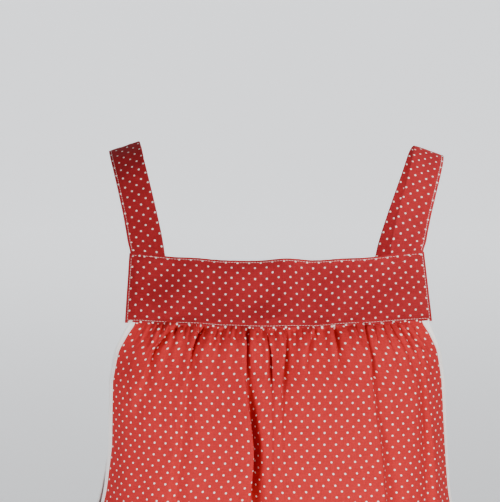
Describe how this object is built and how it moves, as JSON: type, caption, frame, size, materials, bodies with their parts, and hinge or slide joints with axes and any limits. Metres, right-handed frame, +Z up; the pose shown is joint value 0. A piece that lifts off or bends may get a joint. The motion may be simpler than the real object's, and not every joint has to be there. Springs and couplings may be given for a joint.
{
  "type": "cobbler apron",
  "caption": "Slip-on cobbler apron with shoulder straps, straight yoke bands front and back, gathered body panels and bias-bound armholes.",
  "frame": {"origin": "midway between the two straps, where their undersides cross the shoulders", "axes": "+Z up, the chest faces -Y, +X is the wearer's left"},
  "size_m": [0.5028, 0.3584, 0.9109],
  "materials": {
    "pin_dot_cotton": "plain-woven red cotton printed with small white dots, matt",
    "white_bias_tape": "folded white cotton bias tape, matt"
  },
  "bodies": {
    "root": {"yoke_front": "pin_dot_cotton", "yoke_back": "pin_dot_cotton", "strap_right": "pin_dot_cotton", "strap_left": "pin_dot_cotton", "panel_front": "pin_dot_cotton", "panel_back": "pin_dot_cotton", "binding_right": "white_bias_tape", "binding_left": "white_bias_tape"}
  },
  "joints": []
}
